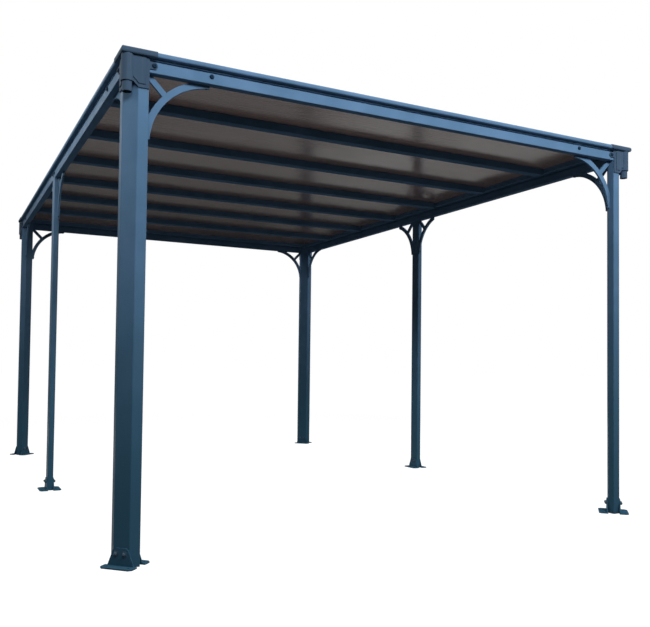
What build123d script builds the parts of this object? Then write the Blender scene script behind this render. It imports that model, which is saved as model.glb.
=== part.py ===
"""Open garden gazebo: six aluminium posts, a beam ring with gutters, and a glazed flat roof.

Frame: X runs across the short side, Y along the long side with the front at -Y, Z up.
The origin lies on the ground under the middle of the roof. Lengths are in millimetres.
"""

import os
from math import sqrt

from build123d import *

# Plan and height
span_x = 2940.0  # between the outer faces of the two long beams
span_y = 4240.0  # between the outer faces of the two short beams
beam_underside = 2060.0  # clear height under the beams

# Corner post: a square section with its outer and inner corners cut off at 45 degrees
post_side = 98.0
post_outer_cut = 53.0
post_inner_cut = 56.0
post_wall = 2.5
post_edge = 2.0  # bevel of the long edges

# Middle post: a flat hollow section under each long beam
mid_post_width = 34.0
mid_post_depth = 92.0
mid_post_edge = 3.0

# Beam: a hollow bar that butts between the posts
beam_depth = 46.0
beam_thickness = 40.0
beam_wall = 2.5
beam_edge = 1.5

# Rim: the gutter that stands on the beams, with a rounded nose outside and a ledge inside
rim_neck_rise = 16.0
rim_neck_inset = 9.0
rim_lip_height = 8.0  # wider upper part of the neck, over a groove along the beam
rim_lip_inset = 2.0
rim_wall = 2.5
rim_overhang = 20.0
rim_nose_width = 24.0
rim_nose_height = 22.0
rim_nose_radius = 8.0
rim_hollow_edge = 4.0
rim_ledge_reach = 25.0  # how far the trough passes the inner face of the beam
rim_ledge_height = 29.0  # the inner wall that carries the roof sheets
rim_ledge_width = 12.0
outlet_inset = 6.0  # square outlet in the trough, from both faces of the beam ring
outlet_side = 13.0

# Glazing bars and roof sheets
bar_count = 6
bar_width = 56.0
bar_drop = 40.0  # hollow foot of the bar, below the sheets
bar_wall = 2.0
bar_stem_width = 10.0
bar_cap_height = 4.0
bar_cap_edge = 1.5
bar_foot_edge = 3.0
sheet_thickness = 8.0
sheet_slot_clearance = 0.5  # over a sheet, under the bar's cap
sheet_side_clearance = 2.0  # beside a sheet, before the bar's stem
sheet_gutter_reach = 20.0  # how far the sheets pass the ledge, over the trough

# Corner caps: moulded sleeves round the nose of the rim
cap_wall = 3.5
cap_fit = 0.3
cap_arm = 128.0  # along each beam, from the corner of the beam ring

# Gutter heads: moulded outlets at the corners
head_pipe_inset = 7.0  # pipe axis, inside the corner of the beam ring
head_pipe_radius = 26.0
head_pipe_drop = 52.0  # below the beams
head_spigot_radius = 20.5
head_spigot_length = 43.0
head_bore_radius = 17.5
head_plate_thickness = 5.0
head_panel_rise = 4.0
head_border = 15.0
head_plate_drop = 72.0
head_plate_bevel = 34.0
head_panel_edge = 2.0
head_arm_reach = 34.0  # past the post, on the face of the beam
head_arm_low = 14.0
head_arm_high = 45.0
head_arm_bevel = 9.0

# Fan brackets: flat cast braces with an arc and one strut
fan_radius = 280.0  # inner edge of the arc
fan_tip = 12.0  # left of the arc where it runs closest to the beam and the post
fan_band_width = 29.0
fan_reach = 275.0  # along the beam and down the post
fan_short_reach = 205.0  # along the beam at the middle posts
fan_thickness = 12.0
fan_strut_width = 25.0

# Foot plates: bent plates on two opposite faces of each post
foot_thickness = 6.0
foot_length = 150.0
foot_reach = 50.0
foot_corner_cut = 13.0
foot_height = 78.0
foot_top_width = 66.0
foot_base_width = 128.0
foot_top_edge = 9.0
foot_hole_diameter = 11.0
foot_hole_spacing = 104.0
foot_hole_reach = 28.0  # from the post's face

# One overrun for every cut
overrun = 10.0

half_x = span_x / 2
half_y = span_y / 2
beam_top = beam_underside + beam_depth
rim_base = beam_top + rim_neck_rise
rim_top = rim_base + rim_nose_height
seat_height = rim_base + rim_ledge_height
inner_x = half_x - beam_thickness - rim_ledge_reach
inner_y = half_y - beam_thickness - rim_ledge_reach
bar_pitch = (2 * inner_y + bar_width) / (bar_count + 1)
bar_places = [bar_pitch * (number + 1) - inner_y - bar_width / 2 for number in range(bar_count)]
LOW = (Align.MIN, Align.MIN)
OVER_X = Plane.YZ
OVER_Y = Plane.XZ


def area(left, low, right, high):
    """Rectangle between two corners."""
    return Pos(left, low) * Rectangle(right - left, high - low, align=LOW)


def rounded(sketch, radius):
    """A sketch with all of its corners rounded."""
    return fillet(sketch.vertices(), radius)


def bevelled(sketch, length):
    """A sketch with all of its corners cut off."""
    return chamfer(sketch.vertices(), length)


def side_run(profile, half_depth, half_length):
    """Run a section along the front side: its x is outward from the beams, its y is height."""
    plane = Plane(origin=(0, -half_depth, 0), x_dir=(0, -1, 0), z_dir=(-1, 0, 0))
    return extrude(plane * profile, amount=half_length, both=True)


def side_place(solid, turn):
    """Turn a piece of the front side to the right side (1), the back (2) or the left (3)."""
    return Rot(0, 0, turn * 90) * solid


def corner_places(solid):
    """The piece of the front left corner at all four corners, with the corners' names."""
    right = mirror(solid, about=OVER_X)
    return {
        "front_left": solid,
        "front_right": right,
        "back_left": mirror(solid, about=OVER_Y),
        "back_right": mirror(right, about=OVER_Y),
    }


def over_diagonal(solid):
    """A piece of the front left corner mirrored from the front side to the left side."""
    return mirror(solid, about=Plane(origin=(-half_x, -half_y, 0), z_dir=(1, -1, 0)))


def corner_post():
    """Hollow six-sided post at the front left corner, from the ground to the rim."""
    flat = post_side - post_inner_cut
    outline = Polygon(
        (post_outer_cut, 0),
        (post_side, 0),
        (post_side, flat),
        (flat, post_side),
        (0, post_side),
        (0, post_outer_cut),
        align=None,
    )
    section = bevelled(outline, post_edge) - offset(outline, amount=-post_wall)
    return Pos(-half_x, -half_y, 0) * extrude(section, amount=rim_base)


def middle_post():
    """Hollow flat post under the middle of the left beam, flush with the beam's outer face."""
    outline = area(0, -mid_post_depth / 2, mid_post_width, mid_post_depth / 2)
    section = bevelled(outline, mid_post_edge) - offset(outline, amount=-post_wall)
    return Pos(-half_x, 0, 0) * extrude(section, amount=beam_underside)


def beam(half_depth, half_width):
    """Hollow beam of the front side, between the end flats of two corner posts."""
    outline = area(-beam_thickness, beam_underside, 0, beam_top)
    section = bevelled(outline, beam_edge) - offset(outline, amount=-beam_wall)
    return side_run(section, half_depth, half_width - post_side)


def nose_area(grow):
    """Square outline of the rim's nose, grown by a margin."""
    return area(
        rim_overhang - rim_nose_width - grow,
        rim_base - grow,
        rim_overhang + grow,
        rim_top + grow,
    )


def mitre(half_depth, half_width, reach_out, reach_in):
    """Plan wedge of the front side that ends at 45 degrees at both corners."""
    plan = Polygon(
        (-half_width - reach_out, -half_depth - reach_out),
        (half_width + reach_out, -half_depth - reach_out),
        (half_width - reach_in, -half_depth + reach_in),
        (-half_width + reach_in, -half_depth + reach_in),
        align=None,
    )
    return extrude(plan, amount=rim_top + overrun)


def rim(half_depth, half_width):
    """Rim of the front side: mitred trough with a hollow nose, and a neck between posts."""
    inside = -beam_thickness - rim_ledge_reach
    neck = area(rim_neck_inset - beam_thickness, beam_top, -rim_neck_inset, rim_base)
    lip_low = rim_base - rim_lip_height
    neck += area(rim_lip_inset - beam_thickness, lip_low, -rim_lip_inset, rim_base)
    neck -= offset(neck, amount=-rim_wall)
    floor = area(inside, rim_base, rim_overhang - rim_nose_width / 2, rim_base + rim_wall)
    wall = area(inside, rim_base, inside + rim_wall, seat_height)
    ledge = area(inside, seat_height - rim_wall, inside + rim_ledge_width, seat_height)
    nose = nose_area(0)
    nose = fillet(nose.vertices().group_by(Axis.X)[-1], rim_nose_radius)
    hollow = bevelled(nose_area(-rim_wall), rim_hollow_edge)
    section = floor + wall + ledge + nose - hollow
    trough = side_run(section, half_depth, half_width + rim_overhang)
    trough &= mitre(half_depth, half_width, rim_overhang, -inside)
    for outlet_x in (outlet_inset - half_width, half_width - outlet_inset - outlet_side):
        hole = Pos(outlet_x, outlet_inset - half_depth) * Rectangle(
            outlet_side, outlet_side, align=LOW
        )
        trough -= Pos(0, 0, rim_base) * extrude(hole, amount=rim_wall)
    return trough + side_run(neck, half_depth, half_width - post_side)


def glazing_bar(place):
    """Glazing bar across the roof: hollow foot, stem and cap, with a slot at each side."""
    foot = area(-bar_width / 2, seat_height - bar_drop, bar_width / 2, seat_height)
    hollow = offset(foot, amount=-bar_wall)
    foot = chamfer(foot.vertices().group_by(Axis.Y)[0], bar_foot_edge) - hollow
    cap_low = seat_height + sheet_thickness + sheet_slot_clearance
    cap = area(-bar_width / 2, cap_low, bar_width / 2, cap_low + bar_cap_height)
    cap = chamfer(cap.vertices().group_by(Axis.Y)[-1], bar_cap_edge)
    stem = area(-bar_stem_width / 2, seat_height - bar_wall, bar_stem_width / 2, cap_low)
    plane = Plane(origin=(0, place, 0), x_dir=(0, 1, 0), z_dir=(1, 0, 0))
    return extrude(plane * (foot + stem + cap), amount=inner_x, both=True)


def roof_sheet(number):
    """Roof sheet in one bay, from slot to slot, or from the rim to a slot at the ends."""
    margin = bar_stem_width / 2 + sheet_side_clearance
    near = bar_places[number - 1] + margin if number else -inner_y - sheet_gutter_reach
    far = bar_places[number] - margin if number < bar_count else inner_y + sheet_gutter_reach
    reach = inner_x + sheet_gutter_reach
    plan = area(-reach, near, reach, far)
    return Pos(0, 0, seat_height) * extrude(plan, amount=sheet_thickness)


def corner_cap():
    """Moulded sleeve over the rim's nose at the front left corner, open inside and below."""
    outside = rim_overhang + cap_fit + cap_wall
    shell = rounded(nose_area(cap_fit + cap_wall), rim_nose_radius + cap_wall)
    shell -= bevelled(nose_area(cap_fit), rim_hollow_edge)
    keep = area(rim_overhang - rim_nose_width / 2, rim_base, outside, rim_top + overrun)
    section = shell & keep
    run = side_run(section, half_y, half_x + outside)
    wedge = Polygon(
        (-half_x - outside, -half_y - outside),
        (cap_arm - half_x, -half_y - outside),
        (cap_arm - half_x, cap_arm - half_y),
        align=None,
    )
    arm = run & extrude(wedge, amount=rim_top + overrun)
    return arm + over_diagonal(arm)


def gutter_head():
    """Moulded outlet at the front left corner: pipe, spigot and two plates on the beams."""
    low = beam_underside - head_plate_drop
    arm_low = beam_underside + head_arm_low
    arm_high = beam_underside + head_arm_high
    pipe_x = head_pipe_inset - half_x
    pipe_y = head_pipe_inset - half_y
    post_end = post_side - half_x
    arm_end = post_end + head_arm_reach
    outline = Polygon(
        (pipe_x, rim_base),
        (pipe_x, low + head_plate_bevel),
        (post_outer_cut - half_x - head_plate_bevel, low + head_plate_bevel),
        (post_outer_cut - half_x, low),
        (post_end, low),
        (post_end, arm_low),
        (arm_end - head_arm_bevel, arm_low),
        (arm_end, arm_low + head_arm_bevel),
        (arm_end, arm_high - head_arm_bevel),
        (arm_end - head_arm_bevel, arm_high),
        (post_end, arm_high),
        (post_end, rim_base),
        align=None,
    )
    panel = Polygon(
        (pipe_x, rim_base),
        (pipe_x, low + head_plate_bevel + head_border),
        (post_outer_cut - half_x - head_plate_bevel, low + head_plate_bevel + head_border),
        (post_outer_cut - half_x, low + head_border),
        (post_end - head_border, low + head_border),
        (post_end - head_border, rim_base),
        align=None,
    )
    front = Plane(origin=(0, -half_y, 0), x_dir=(1, 0, 0), z_dir=(0, -1, 0))
    plate = extrude(front * outline, amount=head_plate_thickness)
    raised = extrude(front * panel, amount=head_plate_thickness + head_panel_rise)
    face = raised.faces().sort_by(Axis.Y)[0]
    sides = face.edges().sort_by(Axis.Z)[:-1]
    plate += chamfer(sides, head_panel_edge)
    pipe_low = beam_underside - head_pipe_drop
    spigot_low = pipe_low - head_spigot_length
    base = (Align.CENTER, Align.CENTER, Align.MIN)
    pipe = Pos(pipe_x, pipe_y, pipe_low) * Cylinder(
        head_pipe_radius, rim_base - pipe_low, align=base
    )
    spigot = Pos(pipe_x, pipe_y, spigot_low) * Cylinder(
        head_spigot_radius, head_spigot_length, align=base
    )
    bore = Pos(pipe_x, pipe_y, spigot_low) * Cylinder(
        head_bore_radius, rim_base - spigot_low, align=base
    )
    return plate + over_diagonal(plate) + pipe + spigot - bore


def fan_bracket(beam_reach):
    """Fan bracket on a vertical plane: x along the beam from the post, y up to the beam."""
    centre = fan_radius + fan_tip
    band = Circle(fan_radius + fan_band_width) - Circle(fan_radius)
    strut_length = sqrt(2) * centre - fan_radius - fan_band_width / 2
    strut = Rot(0, 0, -45) * area(0, -fan_strut_width / 2, strut_length, fan_strut_width / 2)
    fan = Pos(centre, -centre) * band + strut
    fan &= area(0, -fan_reach, beam_reach, 0)
    return extrude(fan, amount=fan_thickness)


def foot_plate():
    """Bent foot plate on a face at x = 0, with its flange on the ground toward +x."""
    flange = area(0, -foot_length / 2, foot_reach, foot_length / 2)
    flange = chamfer(flange.vertices().group_by(Axis.X)[-1], foot_corner_cut)
    holes = [
        Pos(foot_hole_reach, place) * Circle(foot_hole_diameter / 2)
        for place in (-foot_hole_spacing / 2, foot_hole_spacing / 2)
    ]
    flange = extrude(flange - holes, amount=foot_thickness)
    upright = Polygon(
        (-foot_base_width / 2, 0),
        (foot_base_width / 2, 0),
        (foot_top_width / 2, foot_height),
        (-foot_top_width / 2, foot_height),
        align=None,
    )
    upright = chamfer(upright.vertices().group_by(Axis.Y)[-1], foot_top_edge)
    plane = Plane(origin=(0, 0, 0), x_dir=(0, 1, 0), z_dir=(1, 0, 0))
    return flange + extrude(plane * upright, amount=foot_thickness)


def corner_feet():
    """Two foot plates on the diagonal faces of the front left post."""
    outer = post_outer_cut / 2
    inner = post_side - post_inner_cut / 2
    plate = foot_plate()
    outside = Pos(outer - half_x, outer - half_y, 0) * Rot(0, 0, 225) * plate
    inside = Pos(inner - half_x, inner - half_y, 0) * Rot(0, 0, 45) * plate
    return Compound(children=[outside, inside])


def middle_feet():
    """Two foot plates on the wide faces of the left middle post."""
    plate = foot_plate()
    outside = Pos(-half_x, 0, 0) * Rot(0, 0, 180) * plate
    inside = Pos(mid_post_width - half_x, 0, 0) * plate
    return Compound(children=[outside, inside])


def corner_fans():
    """Two fan brackets at the front left post, flush with the inner faces of the beams."""
    start = (post_side - half_x, beam_thickness - half_y, beam_underside)
    plane = Plane(origin=start, x_dir=(1, 0, 0), z_dir=(0, -1, 0))
    front = plane.location * fan_bracket(fan_reach)
    return Compound(children=[front, over_diagonal(front)])


def middle_fans():
    """Two short fan brackets at the left middle post, flush with the post's inner face."""
    start = (mid_post_width - half_x, -mid_post_depth / 2, beam_underside)
    plane = Plane(origin=start, x_dir=(0, -1, 0), z_dir=(-1, 0, 0))
    front = plane.location * fan_bracket(fan_short_reach)
    return Compound(children=[front, mirror(front, about=OVER_Y)])


def gazebo():
    """All pieces by name."""
    pieces = {}
    for name, solid in corner_places(corner_post()).items():
        pieces[f"{name}_post"] = solid
    for name, solid in corner_places(corner_feet()).items():
        pieces[f"{name}_foot_plates"] = solid
    for name, solid in corner_places(corner_fans()).items():
        pieces[f"{name}_fan_brackets"] = solid
    for name, solid in corner_places(gutter_head()).items():
        pieces[f"{name}_gutter_head"] = solid
    for side, turn in (("left", 0), ("right", 1)):
        for piece, solid in (
            ("post", middle_post()),
            ("foot_plates", middle_feet()),
            ("fan_brackets", middle_fans()),
        ):
            pieces[f"{side}_middle_{piece}"] = mirror(solid, about=OVER_X) if turn else solid
    short_beam = beam(half_y, half_x)
    long_beam = beam(half_x, half_y)
    short_rim = rim(half_y, half_x)
    long_rim = rim(half_x, half_y)
    pieces["front_beam"] = short_beam
    pieces["right_beam"] = side_place(long_beam, 1)
    pieces["back_beam"] = side_place(short_beam, 2)
    pieces["left_beam"] = side_place(long_beam, 3)
    pieces["front_rim"] = short_rim
    pieces["right_gutter"] = side_place(long_rim, 1)
    pieces["back_rim"] = side_place(short_rim, 2)
    pieces["left_gutter"] = side_place(long_rim, 3)
    pieces["corner_caps"] = Compound(children=list(corner_places(corner_cap()).values()))
    for number, place in enumerate(bar_places):
        pieces[f"glazing_bar_{number + 1}"] = glazing_bar(place)
    for number in range(bar_count + 1):
        pieces[f"roof_sheet_{number + 1}"] = roof_sheet(number)
    return pieces


os.makedirs("parts", exist_ok=True)
for node, shape in gazebo().items():
    export_step(shape, f"parts/{node}.step")
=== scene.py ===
"""Dresses an open garden gazebo: finishes for its frame and roof, fasteners, studio, camera."""

import logging
import math
from dataclasses import dataclass, field
from enum import Enum

import bpy
import numpy as np
from mathutils import Euler, Matrix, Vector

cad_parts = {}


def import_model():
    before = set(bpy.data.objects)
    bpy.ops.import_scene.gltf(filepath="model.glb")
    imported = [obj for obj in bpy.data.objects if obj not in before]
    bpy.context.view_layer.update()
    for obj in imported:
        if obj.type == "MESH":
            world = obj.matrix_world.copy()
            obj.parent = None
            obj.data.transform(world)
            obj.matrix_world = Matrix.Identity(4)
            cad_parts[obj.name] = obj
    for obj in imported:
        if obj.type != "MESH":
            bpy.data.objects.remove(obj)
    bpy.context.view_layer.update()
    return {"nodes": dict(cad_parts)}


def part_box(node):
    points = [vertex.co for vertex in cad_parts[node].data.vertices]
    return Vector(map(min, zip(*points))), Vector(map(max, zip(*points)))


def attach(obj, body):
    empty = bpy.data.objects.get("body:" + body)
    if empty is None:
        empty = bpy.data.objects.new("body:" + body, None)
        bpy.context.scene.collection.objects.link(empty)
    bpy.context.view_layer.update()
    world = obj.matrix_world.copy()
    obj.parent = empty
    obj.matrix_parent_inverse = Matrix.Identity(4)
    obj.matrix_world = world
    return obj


LOG = logging.getLogger("gazebo")
Colour = tuple[float, float, float]
Place = tuple[float, float, float]
Span = tuple[float, float]
Socket = bpy.types.NodeSocket
UNIT: Span = (0.0, 1.0)
WHITE: Colour = (1.0, 1.0, 1.0)
DIAGONAL = math.sqrt(0.5)
HEAD_COLUMNS = 24
# Rings of a pan head from its base to its recess: shares of its radius and of its height, and
# 1 where the ring is six-sided.
PAN_RINGS = (
    (1.25, 0.0, 0),
    (1.25, 0.20, 0),
    (1.04, 0.28, 0),
    (1.0, 0.55, 0),
    (0.86, 0.85, 0),
    (0.5, 1.0, 0),
    (0.42, 1.0, 1),
    (0.36, 0.6, 1),
    (0.18, 0.6, 0),
)


class Slot(Enum):
    """Material slots."""

    FRAME = "frame"
    MOULDING = "moulding"
    ROOF_SHEET = "roof_sheet"


class Finish(Enum):
    """Finishes of the gazebo's pieces."""

    FRAME = "frame"
    MOULDING = "moulding"
    NUT = "nut"
    SCREW = "screw"
    BAR = "bar"
    SHEET = "sheet"


class Head(Enum):
    """Kinds of fastener heads."""

    CAP = "cap"
    PAN = "pan"
    SMALL = "small"


def opaque(colour: Colour) -> tuple[float, float, float, float]:
    """A colour with full alpha."""
    return (*colour, 1.0)


def scaled(colour: Colour, share: float) -> Colour:
    """A colour with each part times a share."""
    return tuple(share * part for part in colour)


class Graph:
    """A node tree with short calls to add nodes and to link them."""

    def __init__(self, tree: bpy.types.NodeTree) -> None:
        """Keep the tree and take out the nodes it starts with."""
        self.tree = tree
        tree.nodes.clear()

    def add(self, kind: str, values: dict | None = None, **settings: object) -> bpy.types.Node:
        """Add a node.

        Args:
            kind: the node's type name after "ShaderNode".
            values: default values by input name or number.
            settings: attributes of the node.

        Returns:
            The new node.
        """
        node = self.tree.nodes.new("ShaderNode" + kind)
        for name, value in settings.items():
            setattr(node, name, value)
        for name, value in (values or {}).items():
            node.inputs[name].default_value = value
        return node

    def link(self, source: Socket, target: Socket) -> None:
        """Link an output to an input."""
        self.tree.links.new(source, target)

    def feed(self, target: Socket, value: object) -> None:
        """Link a socket to an input, or set the input to a plain value.

        Args:
            target: the input.
            value: a socket, a number or a colour with alpha.
        """
        if isinstance(value, Socket):
            self.link(value, target)
        else:
            target.default_value = value

    def maths(self, operation: str, first: object, second: object = 0.0) -> Socket:
        """Combine two values.

        Args:
            operation: a Math node's operation.
            first: a socket or a number.
            second: a socket or a number.

        Returns:
            The output socket.
        """
        node = self.add("Math", operation=operation)
        self.feed(node.inputs[0], first)
        self.feed(node.inputs[1], second)
        return node.outputs[0]

    def ramp(self, value: Socket, span: Span, to: Span = UNIT) -> Socket:
        """Map a value smoothly from one range to another.

        Args:
            value: the value to map.
            span: start and end of its range.
            to: the results at the start and at the end.

        Returns:
            The mapped value's socket.
        """
        node = self.add(
            "MapRange",
            {1: span[0], 2: span[1], 3: to[0], 4: to[1]},
            interpolation_type="SMOOTHSTEP",
        )
        self.link(value, node.inputs[0])
        return node.outputs[0]

    def blend(self, mask: Socket, first: object, second: Colour) -> Socket:
        """Blend two colours by a mask.

        Args:
            mask: 0 for the first colour, 1 for the second.
            first: a colour socket or a colour.
            second: a colour.

        Returns:
            The blended colour's socket.
        """
        node = self.add("Mix", {7: opaque(second)}, data_type="RGBA")
        self.link(mask, node.inputs["Factor"])
        self.feed(node.inputs[6], first if isinstance(first, Socket) else opaque(first))
        return node.outputs[2]

    def noise(self, place: Socket, scale: float, detail: float) -> Socket:
        """Noise value at a place.

        Args:
            place: the coordinates.
            scale: cells per metre.
            detail: octaves.

        Returns:
            The noise value's socket.
        """
        node = self.add("TexNoise", {"Scale": scale, "Detail": detail})
        self.link(place, node.inputs["Vector"])
        return node.outputs[0]

    def drawn_out(self, place: Socket, scale: Place, detail: float) -> Socket:
        """Noise with its own number of cells per metre along each axis.

        Args:
            place: the coordinates.
            scale: cells per metre along x, y and z.
            detail: octaves.

        Returns:
            The noise value's socket.
        """
        stretch = self.add("Mapping", {"Scale": scale})
        self.link(place, stretch.inputs["Vector"])
        return self.noise(stretch.outputs[0], 1.0, detail)

    def parts(self, vector: Socket) -> bpy.types.NodeOutputs:
        """Split a vector.

        Args:
            vector: the vector's socket.

        Returns:
            Its parts, by the names X, Y and Z.
        """
        node = self.add("SeparateXYZ")
        self.link(vector, node.inputs[0])
        return node.outputs

    def object_place(self) -> Socket:
        """The place on the object."""
        return self.add("TexCoord").outputs["Object"]


@dataclass
class EffectGroups:
    """Shader node groups that several finishes share, with the sizes of their patterns."""

    fine_detail: float = 1.0
    broad_detail: float = 4.0
    mottle_span: Span = (0.3, 0.7)
    upward_span: Span = (0.55, 0.95)
    patch_scale: float = 9.0
    patch_detail: float = 5.0
    patch_span: Span = (0.35, 0.75)
    patch_level: Span = (0.15, 1.0)
    streak_scale: Place = (60.0, 60.0, 1.6)
    streak_detail: float = 3.0
    streak_span: Span = (0.52, 0.78)
    skin: bpy.types.NodeTree = field(init=False)
    weather_and_shade: bpy.types.NodeTree = field(init=False)

    def __post_init__(self) -> None:
        """Build the groups once."""
        self.skin = self._skin()
        self.weather_and_shade = self._weather_and_shade()

    @staticmethod
    def _open(
        name: str, inputs: dict[str, float], outputs: list[str]
    ) -> tuple[bpy.types.NodeTree, Graph, bpy.types.Node, bpy.types.Node]:
        """Make an empty group.

        Args:
            name: the group's name.
            inputs: default values by input name.
            outputs: output names.

        Returns:
            The group, its graph, its input node and its output node.
        """
        group = bpy.data.node_groups.new(name, "ShaderNodeTree")
        for label, value in inputs.items():
            socket = group.interface.new_socket(
                name=label, in_out="INPUT", socket_type="NodeSocketFloat"
            )
            socket.default_value = value
        for label in outputs:
            group.interface.new_socket(
                name=label, in_out="OUTPUT", socket_type="NodeSocketFloat"
            )
        graph = Graph(group)
        start = group.nodes.new("NodeGroupInput")
        end = group.nodes.new("NodeGroupOutput")
        return group, graph, start, end

    def _skin(self) -> bpy.types.NodeTree:
        """Fine skin of a coated or moulded surface: grain height and broad mottling.

        Returns:
            The group, with inputs Grain and Mottle (cells per metre).
        """
        group, graph, start, end = self._open(
            "surface_skin", {"Grain": 900.0, "Mottle": 5.0}, ["Height", "Shade"]
        )
        place = graph.object_place()
        fine = graph.add("TexNoise", {"Detail": self.fine_detail})
        broad = graph.add("TexNoise", {"Detail": self.broad_detail})
        for node, label in ((fine, "Grain"), (broad, "Mottle")):
            graph.link(place, node.inputs["Vector"])
            graph.link(start.outputs[label], node.inputs["Scale"])
        graph.link(fine.outputs[0], end.inputs["Height"])
        graph.link(graph.ramp(broad.outputs[0], self.mottle_span), end.inputs["Shade"])
        return group

    def _weather_and_shade(self) -> bpy.types.NodeTree:
        """Dust on top, rain streaks on the sides, and painted shade that darkens towards the
        ground.

        Upright is 1 on a wall and 0 on a face that looks straight up or down.

        Returns:
            The group, with inputs Dust and Streaks (amounts) and Low and High (heights where the
            painted shade is darkest and where it ends).
        """
        group, graph, start, end = self._open(
            "weather_and_painted_shade",
            {"Dust": 0.4, "Streaks": 0.3, "Low": 0.1, "High": 1.8},
            ["Dust", "Streaks", "Fade", "Upright"],
        )
        place = graph.object_place()
        rise = graph.parts(graph.add("NewGeometry").outputs["Normal"])["Z"]
        upward = graph.ramp(rise, self.upward_span)
        spots = graph.noise(place, self.patch_scale, self.patch_detail)
        patches = graph.ramp(spots, self.patch_span, self.patch_level)
        dust = graph.maths("MULTIPLY", upward, patches)
        graph.link(graph.maths("MULTIPLY", dust, start.outputs["Dust"]), end.inputs["Dust"])
        upright = graph.maths("SUBTRACT", 1.0, graph.maths("ABSOLUTE", rise))
        graph.link(upright, end.inputs["Upright"])
        lines = graph.drawn_out(place, self.streak_scale, self.streak_detail)
        streaks = graph.maths("MULTIPLY", graph.ramp(lines, self.streak_span), upright)
        amount = graph.maths("MULTIPLY", streaks, start.outputs["Streaks"])
        graph.link(amount, end.inputs["Streaks"])
        # Painted shade: 0 at the Low height, where the colour is darkest, rising to 1 at the High
        # height.
        painted_shade = graph.add("MapRange", interpolation_type="SMOOTHSTEP")
        graph.link(graph.parts(place)["Z"], painted_shade.inputs[0])
        graph.link(start.outputs["Low"], painted_shade.inputs[1])
        graph.link(start.outputs["High"], painted_shade.inputs[2])
        graph.link(painted_shade.outputs[0], end.inputs["Fade"])
        return group


@dataclass(frozen=True)
class CoatedFinish:
    """Powder-coated or moulded surface with painted shade, darker near the ground, dull where it
    lies flat.
    """

    name: str
    painted_shade_colour: Colour
    painted_lit_colour: Colour
    dust_colour: Colour
    roughness: float
    grain: float
    grain_depth: float
    dust: float
    streaks: float
    specular: float = 0.045
    flat_roughness: float = 1.0
    flat_span: Span = (0.0, 0.6)
    deep_share: float = 0.82
    mottle: float = 0.3
    smoother: float = 0.04
    rougher: float = 0.06
    dust_wear: float = 0.35
    grain_strength: float = 0.25

    def build(self, groups: EffectGroups) -> bpy.types.Material:
        """Make the material.

        Args:
            groups: the shared effects.

        Returns:
            The material.
        """
        material = bpy.data.materials.new(self.name)
        material.use_nodes = True
        graph = Graph(material.node_tree)
        skin = graph.add("Group", {"Grain": self.grain}, node_tree=groups.skin).outputs
        weather_and_shade = graph.add(
            "Group", {"Dust": self.dust, "Streaks": self.streaks}, node_tree=groups.weather_and_shade
        ).outputs
        shader = graph.add("BsdfPrincipled", {"Specular IOR Level": self.specular})
        # Painted shade: the shaded colour near the ground blends into the lit colour towards the
        # roof.
        body = graph.blend(weather_and_shade["Fade"], self.painted_shade_colour, self.painted_lit_colour)
        shade = graph.maths("MULTIPLY", skin["Shade"], self.mottle)
        body = graph.blend(shade, body, scaled(self.painted_shade_colour, self.deep_share))
        body = graph.blend(weather_and_shade["Streaks"], body, self.dust_colour)
        body = graph.blend(weather_and_shade["Dust"], body, self.dust_colour)
        graph.link(body, shader.inputs["Base Color"])
        worn = graph.maths("MULTIPLY", weather_and_shade["Dust"], self.dust_wear)
        around = (self.roughness - self.smoother, self.roughness + self.rougher)
        uneven = graph.ramp(skin["Shade"], UNIT, around)
        flat = graph.ramp(weather_and_shade["Upright"], self.flat_span, (self.flat_roughness, 0.0))
        rough = graph.maths("MAXIMUM", graph.maths("ADD", uneven, worn), flat)
        graph.link(rough, shader.inputs["Roughness"])
        bump = graph.add(
            "Bump", {"Strength": self.grain_strength, "Distance": self.grain_depth}
        )
        graph.link(skin["Height"], bump.inputs["Height"])
        graph.link(bump.outputs[0], shader.inputs["Normal"])
        graph.link(shader.outputs[0], graph.add("OutputMaterial").inputs[0])
        return material


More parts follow.
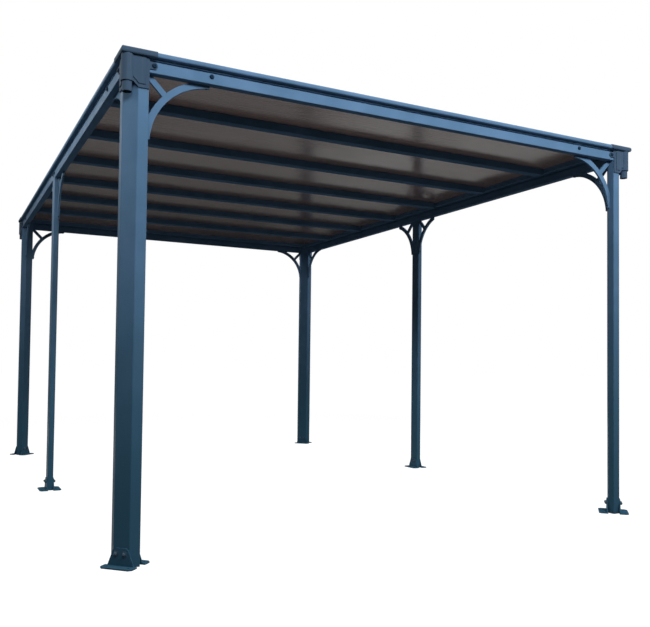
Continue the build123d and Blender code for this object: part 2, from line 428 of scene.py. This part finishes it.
@dataclass(frozen=True)
class SheetFinish:
    """Tinted twin-wall sheet: webs across the long side, light through it, dust on top."""

    name: str = "tinted_twin_wall"
    colour: Colour = (0.196, 0.144, 0.136)
    web_colour: Colour = (0.090, 0.073, 0.074)
    dust_colour: Colour = (0.30, 0.28, 0.25)
    web_pitch: float = 0.0105
    web_depth: float = 0.0001
    web_strength: float = 0.5
    web_span: Span = (0.7, 1.0)
    web_share: float = 0.6
    roughness: float = 0.15
    rougher: float = 0.08
    specular: float = 0.5
    bend: float = 1.18
    clear: float = 0.42
    grain: float = 60.0
    ripple: float = 1.5
    mottle: float = 2.2
    mottle_share: float = 0.4
    mottle_light: float = 1.25
    dust: float = 0.10
    dust_wear: float = 0.6
    run_scale: Place = (0.22, 55.0, 1.0)
    run_detail: float = 1.0
    run_span: Span = (0.30, 0.70)
    run_level: Span = (0.0, 0.6)

    def build(self, groups: EffectGroups) -> bpy.types.Material:
        """Make the material.

        The webs are a sine over y with one period per web, and the darker lines along them
        are noise drawn out along x.

        Args:
            groups: the shared effects.

        Returns:
            The material.
        """
        material = bpy.data.materials.new(self.name)
        material.use_nodes = True
        graph = Graph(material.node_tree)
        place = graph.object_place()
        turns = graph.maths("MULTIPLY", graph.parts(place)["Y"], 2.0 * math.pi / self.web_pitch)
        wave = graph.maths("SINE", turns)
        web = graph.ramp(wave, self.web_span)
        skin = graph.add(
            "Group", {"Grain": self.grain, "Mottle": self.mottle}, node_tree=groups.skin
        ).outputs
        weather_and_shade = graph.add("Group", {"Dust": self.dust}, node_tree=groups.weather_and_shade).outputs
        shader = graph.add(
            "BsdfPrincipled",
            {
                "Specular IOR Level": self.specular,
                "Transmission Weight": self.clear,
                "IOR": self.bend,
            },
        )
        webs = graph.maths("MULTIPLY", web, self.web_share)
        body = graph.blend(webs, self.colour, self.web_colour)
        shade = graph.maths("MULTIPLY", skin["Shade"], self.mottle_share)
        body = graph.blend(shade, body, scaled(self.colour, self.mottle_light))
        lines = graph.drawn_out(place, self.run_scale, self.run_detail)
        runs = graph.ramp(lines, self.run_span, self.run_level)
        body = graph.blend(runs, body, self.web_colour)
        body = graph.blend(weather_and_shade["Dust"], body, self.dust_colour)
        graph.link(body, shader.inputs["Base Color"])
        around = (self.roughness, self.roughness + self.rougher)
        rough = graph.ramp(skin["Shade"], UNIT, around)
        worn = graph.maths("MULTIPLY", weather_and_shade["Dust"], self.dust_wear)
        graph.link(graph.maths("ADD", rough, worn), shader.inputs["Roughness"])
        bump = graph.add("Bump", {"Strength": self.web_strength, "Distance": self.web_depth})
        ripple = graph.maths("MULTIPLY", skin["Height"], self.ripple)
        graph.link(graph.maths("ADD", wave, ripple), bump.inputs["Height"])
        graph.link(bump.outputs[0], shader.inputs["Normal"])
        graph.link(shader.outputs[0], graph.add("OutputMaterial").inputs[0])
        return material


@dataclass(frozen=True)
class Finishes:
    """The values of this gazebo's finishes."""

    # Each coat's painted shade colour darkens it near the ground, and its painted lit colour
    # lightens it towards the roof.
    frame: CoatedFinish = CoatedFinish(
        name="slate_powder_coat",
        painted_shade_colour=(0.036, 0.105, 0.168),
        painted_lit_colour=(0.100, 0.185, 0.308),
        dust_colour=(0.14, 0.16, 0.18),
        roughness=0.34,
        grain=1400.0,
        grain_depth=0.00025,
        dust=0.05,
        streaks=0.03,
    )
    moulding: CoatedFinish = CoatedFinish(
        name="slate_moulding",
        painted_shade_colour=(0.028, 0.054, 0.084),
        painted_lit_colour=(0.049, 0.082, 0.130),
        dust_colour=(0.33, 0.33, 0.31),
        roughness=0.48,
        grain=2200.0,
        grain_depth=0.0004,
        dust=0.12,
        streaks=0.04,
    )
    nut: CoatedFinish = CoatedFinish(
        name="coated_nut",
        painted_shade_colour=(0.026, 0.066, 0.110),
        painted_lit_colour=(0.030, 0.072, 0.120),
        dust_colour=(0.10, 0.11, 0.12),
        roughness=0.26,
        grain=2600.0,
        grain_depth=0.0002,
        dust=0.05,
        streaks=0.02,
        specular=0.6,
        flat_roughness=0.0,
    )
    screw: CoatedFinish = CoatedFinish(
        name="dark_screw",
        painted_shade_colour=(0.009, 0.026, 0.052),
        painted_lit_colour=(0.010, 0.028, 0.056),
        dust_colour=(0.10, 0.11, 0.12),
        roughness=0.40,
        grain=2600.0,
        grain_depth=0.0002,
        dust=0.1,
        streaks=0.02,
        specular=0.10,
        flat_roughness=0.0,
    )
    bar: CoatedFinish = CoatedFinish(
        name="slate_bar_coat",
        painted_shade_colour=(0.036, 0.105, 0.168),
        painted_lit_colour=(0.100, 0.185, 0.308),
        dust_colour=(0.33, 0.33, 0.31),
        roughness=0.55,
        grain=1400.0,
        grain_depth=0.00025,
        dust=0.10,
        streaks=0.02,
        specular=0.0,
    )
    sheet: SheetFinish = SheetFinish()

    def build(self, groups: EffectGroups) -> dict[Finish, bpy.types.Material]:
        """Make all materials.

        Args:
            groups: the shared effects.

        Returns:
            The materials by finish.
        """
        return {
            Finish.FRAME: self.frame.build(groups),
            Finish.MOULDING: self.moulding.build(groups),
            Finish.NUT: self.nut.build(groups),
            Finish.SCREW: self.screw.build(groups),
            Finish.BAR: self.bar.build(groups),
            Finish.SHEET: self.sheet.build(groups),
        }


@dataclass(frozen=True)
class Frame:
    """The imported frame's main places, in metres."""

    half_x: float
    half_y: float
    beam_low: float
    post_side: float = 0.098
    outer_cut: float = 0.053
    inner_cut: float = 0.056
    foot_plate: float = 0.006
    head_plate: float = 0.005
    beam_thickness: float = 0.040
    mid_width: float = 0.034
    mid_depth: float = 0.092
    fan_radius: float = 0.280
    fan_tip: float = 0.012
    fan_reach: float = 0.275
    fan_short_reach: float = 0.205
    fan_thickness: float = 0.012

    @classmethod
    def read(cls) -> "Frame":
        """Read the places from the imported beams.

        Returns:
            The frame.
        """
        front_low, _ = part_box("front_beam")
        left_low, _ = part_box("left_beam")
        return cls(-left_low[0], -front_low[1], front_low[2])

    @property
    def fan_centre(self) -> float:
        """Distance of a bracket's arc centre from the beam and from the post."""
        return self.fan_radius + self.fan_tip


@dataclass(frozen=True)
class Surface:
    """Points with the quads and triangles between them."""

    points: np.ndarray
    quads: np.ndarray
    triangles: np.ndarray

    def copies(self, spots: np.ndarray, turns: np.ndarray) -> "Surface":
        """Repeat the surface: copy n is the points times turn n, moved to spot n.

        Args:
            spots: where each copy sits.
            turns: the three directions of each copy's axes, one a line.

        Returns:
            All copies as one surface.
        """
        placed = np.einsum("pk,nkd->npd", self.points, turns) + spots[:, None, :]
        shift = (np.arange(len(spots)) * len(self.points))[:, None, None]
        return Surface(
            placed.reshape(-1, 3),
            (self.quads[None] + shift).reshape(-1, 4),
            (self.triangles[None] + shift).reshape(-1, 3),
        )


def grid_faces(rows: int, columns: int) -> np.ndarray:
    """Quads of a grid that closes on itself along its columns.

    Args:
        rows: rings of points.
        columns: points on a ring.

    Returns:
        Corner numbers, one quad a line: (r, c), (r, c+1), (r+1, c+1), (r+1, c).
    """
    row, column = np.meshgrid(np.arange(rows - 1), np.arange(columns), indexing="ij")
    after = (column + 1) % columns
    quads = np.stack(
        [
            row * columns + column,
            row * columns + after,
            (row + 1) * columns + after,
            (row + 1) * columns + column,
        ],
        axis=-1,
    )
    return quads.reshape(-1, 4)


def turned_shape(profile: np.ndarray) -> Surface:
    """A closed head turned about z, round or six-sided at each ring.

    Point (i, j) is radius_i * s_ij * (cos t_j, sin t_j) at height_i, where s_ij goes from 1
    on a round ring to the six-sided outline cos(pi/6) / cos(t mod pi/3 - pi/6) on a hex ring.
    A fan of triangles to a point on the axis closes the first ring and the last.

    Args:
        profile: radius and height of each ring from the base to the top, and 0 where the ring
            is round or 1 where it is six-sided.

    Returns:
        The head.
    """
    columns = HEAD_COLUMNS
    angle = np.arange(columns) * 2.0 * math.pi / columns
    six = math.cos(math.pi / 6) / np.cos(np.mod(angle, math.pi / 3) - math.pi / 6)
    spread = 1.0 + profile[:, 2:] * (six[None, :] - 1.0)
    radius = profile[:, :1] * spread
    height = np.broadcast_to(profile[:, 1:2], radius.shape)
    rings = np.stack([radius * np.cos(angle), radius * np.sin(angle), height], axis=-1)
    poles = np.array([[0.0, 0.0, profile[0, 1]], [0.0, 0.0, profile[-1, 1]]])
    base = np.arange(columns)
    after = np.roll(base, -1)
    top = (len(profile) - 1) * columns
    pole = np.full(columns, len(profile) * columns)
    triangles = np.concatenate(
        [
            np.stack([after, base, pole], axis=-1),
            np.stack([top + base, top + after, pole + 1], axis=-1),
        ]
    )
    points = np.concatenate([rings.reshape(-1, 3), poles])
    return Surface(points, grid_faces(len(profile), columns), triangles)


def make_piece(name: str, surface: Surface) -> bpy.types.Object:
    """Put a surface into a mesh object at the origin.

    Args:
        name: the object's name.
        surface: its points and faces, in metres.

    Returns:
        The object, riding on the frame.
    """
    mesh = bpy.data.meshes.new(name)
    faces = surface.quads.tolist() + surface.triangles.tolist()
    mesh.from_pydata(surface.points.tolist(), [], faces)
    mesh.update()
    piece = bpy.data.objects.new(name, mesh)
    bpy.context.collection.objects.link(piece)
    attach(piece, "root")
    return piece


@dataclass
class Fasteners:
    """Nuts and screw heads of the foot plates, beams, gutter heads and brackets, in metres."""

    frame: Frame
    cap_radius: float = 0.0090
    cap_height: float = 0.0065
    cap_top_share: float = 0.9
    dome_share: float = 0.86
    dome_rise: float = 0.0062
    dome_sweep: float = 0.45 * math.pi
    dome_rings: int = 6
    washer_radius: float = 0.0112
    washer_side: float = 0.0014
    washer_height: float = 0.0018
    edge: float = 0.0006
    pan_radius: float = 0.0086
    pan_height: float = 0.0070
    small_share: float = 0.42
    bolt_step: float = 0.0195
    bolt_height: float = 0.055
    beam_screw_reach: float = 0.373
    beam_screw_rise: float = 0.032
    middle_screw_step: float = 0.030
    head_screw_reach: float = 0.020
    head_screw_rise: float = 0.029
    bracket_bite: float = 0.014
    steep: float = 0.9

    def cap_nut(self) -> Surface:
        """Six-sided nut on a washer, under a dome.

        Ring a of the dome has the radius s r cos a and the height h + d sin a, where s is the
        dome's share of the nut's radius r, h the nut's height and d the dome's rise.

        Returns:
            The nut on the plane z = 0.
        """
        radius, height, washer = self.cap_radius, self.cap_height, self.washer_radius
        body = np.array(
            [
                [washer, 0.0, 0],
                [washer, self.washer_side, 0],
                [washer - self.edge, self.washer_height, 0],
                [radius, self.washer_height, 1],
                [radius, height - self.edge, 1],
                [self.cap_top_share * radius, height, 0],
            ]
        )
        sweep = np.linspace(0.0, self.dome_sweep, self.dome_rings)
        across = self.dome_share * radius * np.cos(sweep)
        up = height + self.dome_rise * np.sin(sweep)
        dome = np.stack([across, up, np.zeros_like(sweep)], axis=-1)
        return turned_shape(np.concatenate([body, dome]))

    def pan_head(self, share: float) -> Surface:
        """Pan head on a flange with a six-sided recess, at a share of its full size."""
        size = np.array([share * self.pan_radius, share * self.pan_height, 1.0])
        return turned_shape(np.array(PAN_RINGS) * size)

    def shape(self, head: Head) -> Surface:
        """One head on the plane z = 0.

        Args:
            head: its kind.

        Returns:
            The head.
        """
        if head is Head.CAP:
            return self.cap_nut()
        return self.pan_head(self.small_share if head is Head.SMALL else 1.0)

    def place(
        self, name: str, head: Head, spots: np.ndarray, axes: np.ndarray
    ) -> bpy.types.Object:
        """Set copies of one head at many spots, joined in one mesh.

        Each copy is turned by the frame (u, v, n) where n is the spot's outward axis,
        u is across it and v = n x u. u is level unless n is steep.

        Args:
            name: the piece's name.
            head: the kind of head.
            spots: where each head sits.
            axes: outward direction of each head.

        Returns:
            The joined piece.
        """
        axes = axes / np.linalg.norm(axes, axis=1, keepdims=True)
        upward = np.abs(axes[:, 2:]) > self.steep
        helper = np.where(upward, [[1.0, 0.0, 0.0]], [[0.0, 0.0, 1.0]])
        across = np.cross(helper, axes)
        across /= np.linalg.norm(across, axis=1, keepdims=True)
        turns = np.stack([across, np.cross(axes, across), axes], axis=1)
        return make_piece(name, self.shape(head).copies(spots, turns))

    @staticmethod
    def four_ways(spots: list, axes: list) -> tuple[np.ndarray, np.ndarray]:
        """Repeat spots and axes at the four mirrored corners.

        Args:
            spots: spots at the front left corner.
            axes: their outward directions.

        Returns:
            Spots and axes at all corners.
        """
        signs = np.array([[1, 1, 1], [-1, 1, 1], [1, -1, 1], [-1, -1, 1]], dtype=float)
        return (
            (np.array(spots)[None] * signs[:, None]).reshape(-1, 3),
            (np.array(axes)[None] * signs[:, None]).reshape(-1, 3),
        )

    def corner_foot_bolts(self) -> bpy.types.Object:
        """Domed cap nuts on the uprights of the corner foot plates.

        Returns:
            The joined piece.
        """
        f = self.frame
        outer, inner = f.outer_cut / 2, f.post_side - f.inner_cut / 2
        spots, axes = [], []
        for cut, way in ((outer, -1.0), (inner, 1.0)):
            face = cut + way * f.foot_plate * DIAGONAL
            for step in (-self.bolt_step, self.bolt_step):
                along = step * DIAGONAL
                spots.append(
                    [-f.half_x + face + along, -f.half_y + face - along, self.bolt_height]
                )
                axes.append([way, way, 0.0])
        return self.place("corner_foot_bolts", Head.CAP, *self.four_ways(spots, axes))

    def middle_foot_bolts(self) -> bpy.types.Object:
        """Domed cap nuts on the uprights of the middle foot plates.

        Returns:
            The joined piece.
        """
        f = self.frame
        spots, axes = [], []
        for side in (-1.0, 1.0):
            for face, way in (
                (f.half_x + f.foot_plate, side),
                (f.half_x - f.mid_width - f.foot_plate, -side),
            ):
                for step in (-self.bolt_step, self.bolt_step):
                    spots.append([side * face, step, self.bolt_height])
                    axes.append([way, 0.0, 0.0])
        return self.place("middle_foot_bolts", Head.CAP, np.array(spots), np.array(axes))

    def beam_screws(self) -> bpy.types.Object:
        """Pan-head screws on the outer faces of the beams.

        Returns:
            The joined piece.
        """
        f = self.frame
        reach, rise = self.beam_screw_reach, f.beam_low + self.beam_screw_rise
        spots = [
            [-f.half_x + reach, -f.half_y, rise],
            [-f.half_x, -f.half_y + reach, rise],
            [-f.half_x, -self.middle_screw_step, rise],
        ]
        axes = [[0.0, -1.0, 0.0], [-1.0, 0.0, 0.0], [-1.0, 0.0, 0.0]]
        return self.place("beam_screws", Head.PAN, *self.four_ways(spots, axes))

    def head_screws(self) -> bpy.types.Object:
        """Pan-head screws through the arms of the gutter heads.

        Returns:
            The joined piece.
        """
        f = self.frame
        reach, rise = f.post_side + self.head_screw_reach, f.beam_low + self.head_screw_rise
        spots = [
            [-f.half_x + reach, -f.half_y - f.head_plate, rise],
            [-f.half_x - f.head_plate, -f.half_y + reach, rise],
        ]
        axes = [[0.0, -1.0, 0.0], [-1.0, 0.0, 0.0]]
        return self.place("gutter_head_screws", Head.PAN, *self.four_ways(spots, axes))

    def arc_ends(self, reach: float) -> tuple[Span, Span]:
        """Where the two screws of a bracket sit on its arc.

        At u along the beam the arc lies w = c - sqrt(r^2 - (c - u)^2) below it, where c is
        the place of its centre and r its radius. The lower screw swaps u and w.

        Args:
            reach: how far the bracket reaches along the beam.

        Returns:
            Distance from the post and depth below the beam, of the upper and the lower screw.
        """
        f = self.frame
        upper, lower = reach - self.bracket_bite, f.fan_reach - self.bracket_bite
        falls = [
            f.fan_centre - math.sqrt(f.fan_radius**2 - (f.fan_centre - end) ** 2)
            for end in (upper, lower)
        ]
        return (upper, falls[0]), (falls[1], lower)

    def bracket_screws(self) -> bpy.types.Object:
        """Small screws at the two ends of each bracket's arc, pointing at the arc's centre.

        Returns:
            The joined piece.
        """
        f = self.frame
        depth = f.beam_thickness - f.fan_thickness / 2
        spots, axes = [], []
        for along, down in self.arc_ends(f.fan_reach):
            ahead, fall = f.fan_centre - along, f.fan_centre - down
            low = f.beam_low - down
            spots.append([-f.half_x + f.post_side + along, -f.half_y + depth, low])
            axes.append([ahead, 0.0, -fall])
            spots.append([-f.half_x + depth, -f.half_y + f.post_side + along, low])
            axes.append([0.0, ahead, -fall])
        plane = f.mid_width - f.fan_thickness / 2
        for along, down in self.arc_ends(f.fan_short_reach):
            spots.append([-f.half_x + plane, -f.mid_depth / 2 - along, f.beam_low - down])
            axes.append([0.0, along - f.fan_centre, down - f.fan_centre])
        return self.place("bracket_screws", Head.SMALL, *self.four_ways(spots, axes))

    def build(self) -> list[tuple[bpy.types.Object, Finish]]:
        """Make all fasteners.

        Returns:
            Each piece with its finish.
        """
        return [
            (self.corner_foot_bolts(), Finish.NUT),
            (self.middle_foot_bolts(), Finish.NUT),
            (self.beam_screws(), Finish.SCREW),
            (self.head_screws(), Finish.SCREW),
            (self.bracket_screws(), Finish.SCREW),
        ]


@dataclass
class Dressing:
    """Puts the finishes on the pieces."""

    materials: dict[Finish, bpy.types.Material]

    @staticmethod
    def finish_of(name: str) -> Finish:
        """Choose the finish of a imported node.

        Args:
            name: the node's name.

        Returns:
            Its finish.
        """
        if name.startswith("roof_sheet"):
            return Finish.SHEET
        if name.startswith("glazing_bar"):
            return Finish.BAR
        if name.endswith("gutter_head") or name == "corner_caps":
            return Finish.MOULDING
        return Finish.FRAME

    def dress_nodes(self, nodes: dict[str, bpy.types.Object]) -> None:
        """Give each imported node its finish.

        Args:
            nodes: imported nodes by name.
        """
        for name, node in nodes.items():
            finish = self.finish_of(name)
            self.put(node, finish)
            LOG.info("node %s: %s", name, finish.value)

    def put(self, piece: bpy.types.Object, finish: Finish) -> None:
        """Make a finish's material the only one of a piece."""
        piece.data.materials.clear()
        piece.data.materials.append(self.materials[finish])


@dataclass(frozen=True)
class Lamp:
    """Soft rectangular lamp: place and sides in metres, turn in degrees, power in watts."""

    name: str
    place: Place
    turn: Place
    size: Span
    power: float
    colour: Colour = WHITE

    def hang(self) -> None:
        """Put the lamp in the scene, unseen by the camera, in gloss and through the sheets."""
        data = bpy.data.lights.new(self.name, "AREA")
        data.shape = "RECTANGLE"
        data.size, data.size_y = self.size
        data.energy = self.power
        data.color = self.colour
        lamp = bpy.data.objects.new(self.name, data)
        turn = Euler([math.radians(part) for part in self.turn]).to_matrix().to_4x4()
        lamp.matrix_world = Matrix.Translation(self.place) @ turn
        lamp.visible_camera = False
        lamp.visible_transmission = False
        lamp.visible_glossy = False
        bpy.context.collection.objects.link(lamp)


@dataclass
class Studio:
    """Floor, light and camera."""

    lens_px: float = 747.7
    centre_px: Span = (314.7, 341.8)
    image_px: tuple[int, int] = (650, 627)
    place: Place = (-2.144, -5.211, 0.836)
    yaw: float = math.radians(26.871)
    pitch: float = math.radians(1.823)
    roll: float = math.radians(0.684)
    sensor: float = 36.0
    sight: float = 300.0
    world_light: float = 0.06
    sky_span: Span = (0.15, 0.36)
    sky_level: Span = (0.15, 1.0)
    floor_half: float = 60.0
    floor_bounce: float = 0.18
    floor_shown: float = 0.22
    glow_span: Span = (4.0, 12.0)
    glow_level: Span = (0.93, 1.0)
    far_span: Span = (6.5, 11.0)
    painted_far_shade: Span = (0.0, 0.9)
    side_way: Place = (1.0, -0.4, 0.0)
    side_span: Span = (-0.2, 2.4)
    painted_side_shadow: Span = (0.52, 0.0)
    lamps: tuple[Lamp, ...] = (
        Lamp(
            "front_sky", (0.8, -4.8, 3.5), (90.0, 0.0, 0.0), (7.6, 1.0), 286.0, (0.95, 0.98, 1.0)
        ),
        Lamp(
            "left_sky", (-3.1, -0.8, 2.9), (90.0, 0.0, -90.0), (3.0, 0.8), 50.0, (1.0, 0.93, 0.84)
        ),
        Lamp("back_sky", (0.0, 4.8, 3.5), (90.0, 0.0, 180.0), (7.6, 1.0), 170.0),
        Lamp("right_sky", (4.2, 0.6, 3.5), (90.0, 0.0, 90.0), (5.0, 1.0), 105.0),
        Lamp("top_sky", (0.0, 0.0, 6.0), (0.0, 0.0, 0.0), (6.0, 7.0), 160.0),
    )

    def camera(self) -> None:
        """Stand the camera where the photograph was taken.

        The view axis is (sin yaw cos pitch, cos yaw cos pitch, sin pitch), rolled about itself.
        """
        data = bpy.data.cameras.new("camera")
        width, height = self.image_px
        data.sensor_fit = "HORIZONTAL"
        data.sensor_width = self.sensor
        data.lens = self.lens_px / width * self.sensor
        data.shift_x = (width / 2 - self.centre_px[0]) / width
        data.shift_y = (self.centre_px[1] - height / 2) / width
        data.clip_end = self.sight
        camera = bpy.data.objects.new("camera", data)
        ahead = Matrix.Rotation(-self.yaw, 4, "Z")
        level = Matrix.Rotation(math.pi / 2 + self.pitch, 4, "X")
        camera.matrix_world = (
            Matrix.Translation(self.place) @ ahead @ level @ Matrix.Rotation(self.roll, 4, "Z")
        )
        bpy.context.collection.objects.link(camera)
        bpy.context.scene.camera = camera

    def floor(self) -> None:
        """Lay a wide pale floor."""
        reach = np.array([[-1, -1, 0], [1, -1, 0], [1, 1, 0], [-1, 1, 0]], dtype=float)
        mesh = bpy.data.meshes.new("floor")
        mesh.from_pydata((reach * self.floor_half).tolist(), [], [(0, 1, 2, 3)])
        floor = bpy.data.objects.new("floor", mesh)
        bpy.context.collection.objects.link(floor)
        mesh.materials.append(self.floor_material())

    def floor_material(self) -> bpy.types.Material:
        """Pale floor that keeps a soft shadow and shows white to the camera.

        In gloss it carries painted shade: darker far away, and a painted shadow towards the back
        left.

        Returns:
            The material.
        """
        material = bpy.data.materials.new("pale_floor")
        material.use_nodes = True
        graph = Graph(material.node_tree)
        matte = graph.add("BsdfDiffuse", {"Color": opaque(scaled(WHITE, self.floor_bounce))})
        shown = graph.add("BsdfDiffuse", {"Color": opaque(scaled(WHITE, self.floor_shown))})
        white = graph.add("Emission", {"Color": opaque(WHITE)})
        graph.link(self.floor_level(graph), white.inputs["Strength"])
        pale = graph.add("AddShader")
        graph.link(shown.outputs[0], pale.inputs[0])
        graph.link(white.outputs[0], pale.inputs[1])
        mixed = graph.add("MixShader")
        graph.link(graph.maths("MAXIMUM", *self.seen(graph)), mixed.inputs[0])
        graph.link(matte.outputs[0], mixed.inputs[1])
        graph.link(pale.outputs[0], mixed.inputs[2])
        graph.link(mixed.outputs[0], graph.add("OutputMaterial").inputs[0])
        return material

    def floor_level(self, graph: Graph) -> Socket:
        """How white the floor shows: (glow - gloss * painted side shadow) * (1 - gloss * painted
        far shade).

        Args:
            graph: the floor's tree.

        Returns:
            The level's socket.
        """
        place = graph.object_place()
        away = graph.add("VectorMath", operation="LENGTH")
        graph.link(place, away.inputs[0])
        glow = graph.ramp(away.outputs["Value"], self.glow_span, self.glow_level)
        # Painted shade seen only in gloss: the floor darkens far from the gazebo.
        far = graph.ramp(away.outputs["Value"], self.far_span, self.painted_far_shade)
        # Painted shadow seen only in gloss: the floor darkens towards the back left.
        lean = graph.add("VectorMath", {1: self.side_way}, operation="DOT_PRODUCT")
        graph.link(place, lean.inputs[0])
        side = graph.ramp(lean.outputs["Value"], self.side_span, self.painted_side_shadow)
        gloss = graph.add("LightPath").outputs["Is Glossy Ray"]
        lit = graph.maths("SUBTRACT", glow, graph.maths("MULTIPLY", side, gloss))
        left = graph.maths("SUBTRACT", 1.0, graph.maths("MULTIPLY", far, gloss))
        return graph.maths("MULTIPLY", lit, left)

    @staticmethod
    def seen(graph: Graph) -> tuple[Socket, Socket]:
        """Masks of rays that the viewer sees.

        Args:
            graph: the tree to add them to.

        Returns:
            Sockets for rays from the camera, and for rays in gloss or through a sheet.
        """
        path = graph.add("LightPath").outputs
        gloss = graph.maths("MAXIMUM", path["Is Glossy Ray"], path["Is Transmission Ray"])
        return path["Is Camera Ray"], gloss

    def world(self) -> None:
        """Soft even light from all round.

        The camera sees a white backdrop. In gloss and through the sheets, a white sky darkens
        towards the horizon.
        """
        world = bpy.data.worlds.new("studio")
        bpy.context.scene.world = world
        world.use_nodes = True
        graph = Graph(world.node_tree)
        rise = graph.parts(graph.add("TexCoord").outputs["Generated"])["Z"]
        sky = graph.ramp(rise, self.sky_span, self.sky_level)
        camera, gloss = self.seen(graph)
        mirrored = graph.maths("MULTIPLY", gloss, sky)
        soft = graph.maths("MAXIMUM", mirrored, self.world_light)
        light = graph.add("Background", {"Color": opaque(WHITE)})
        graph.link(graph.maths("MAXIMUM", camera, soft), light.inputs["Strength"])
        graph.link(light.outputs[0], graph.add("OutputWorld").inputs[0])

    def build(self) -> None:
        """Set up floor, world, lamps and camera."""
        self.floor()
        self.world()
        for lamp in self.lamps:
            lamp.hang()
        self.camera()


def main() -> None:
    """Build and dress the gazebo and set the studio up."""
    logging.basicConfig(level=logging.INFO, format="%(name)s: %(message)s")
    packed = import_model()
    bpy.context.scene.view_settings.view_transform = "Standard"
    dressing = Dressing(Finishes().build(EffectGroups()))
    dressing.dress_nodes(packed["nodes"])
    for piece, finish in Fasteners(Frame.read()).build():
        dressing.put(piece, finish)
        LOG.info("piece %s: %d faces", piece.name, len(piece.data.polygons))
    Studio().build()


if __name__ == "__main__":
    main()
